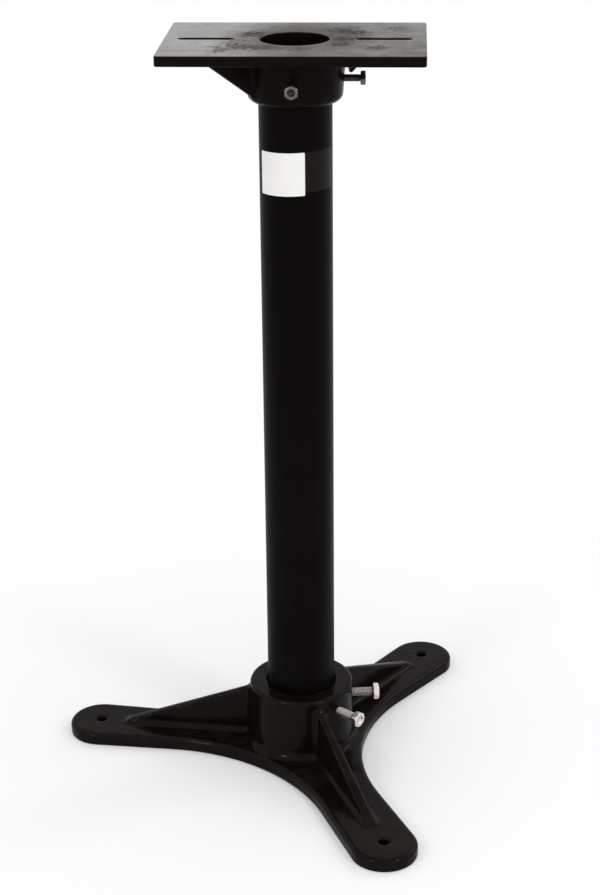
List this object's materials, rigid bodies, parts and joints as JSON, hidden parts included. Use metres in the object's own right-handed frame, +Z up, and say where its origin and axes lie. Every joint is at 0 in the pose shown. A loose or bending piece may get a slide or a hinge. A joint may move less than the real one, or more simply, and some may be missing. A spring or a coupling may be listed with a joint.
{
  "type": "bench grinder stand",
  "caption": "Floor pedestal stand for a bench grinder: ribbed tripod casting, round tube column and slotted rectangular top plate, clamped by hex bolts.",
  "frame": {"origin": "on the column's axis, on the base's flat underside", "axes": "+Z up along the column; +X along the top plate's long side; the plate's front edge faces -Y"},
  "size_m": [0.4515, 0.4866, 0.824],
  "materials": {
    "black_cast_paint": "black semi-gloss paint on rough cast iron; the plate's upper face is ground bare",
    "black_tube_paint": "black satin paint on drawn steel tube",
    "zinc_steel": "bright zinc plate on rolled hex bolts",
    "white_sticker": "matt paper sticker",
    "dark_sticker": "satin dark film sticker"
  },
  "bodies": {
    "base": {"base_casting": "black_cast_paint"},
    "column": {"column_tube": "black_tube_paint"},
    "plate": {"top_plate": "black_cast_paint"},
    "base_bolt_rear": {"base_clamp_bolt_rear": "zinc_steel"},
    "base_bolt_front": {"base_clamp_bolt_front": "zinc_steel"},
    "plate_bolt_right": {"plate_clamp_bolt_right": "zinc_steel"},
    "plate_bolt_front": {"plate_clamp_bolt_front": "zinc_steel"}
  },
  "joints": [
    {"name": "column_turn", "type": "hinge", "parent": "base", "child": "column", "pos_m": [0, 0, 0.05], "axis": [0, 0, 1], "continuous": true},
    {"name": "plate_turn", "type": "hinge", "parent": "column", "child": "plate", "pos_m": [0, 0, 0.786], "axis": [0, 0, 1], "continuous": true},
    {"name": "base_rear_bolt_travel", "type": "slide", "parent": "base", "child": "base_bolt_rear", "axis": [0.9938, 0.1115, 0], "range_m": [0, 0.012]},
    {"name": "base_front_bolt_travel", "type": "slide", "parent": "base", "child": "base_bolt_front", "axis": [0.7705, -0.6374, 0], "range_m": [0, 0.012]},
    {"name": "plate_right_bolt_travel", "type": "slide", "parent": "plate", "child": "plate_bolt_right", "axis": [1, 0, 0], "range_m": [0, 0.008]},
    {"name": "plate_front_bolt_travel", "type": "slide", "parent": "plate", "child": "plate_bolt_front", "axis": [0, -1, 0], "range_m": [0, 0.008]}
  ]
}
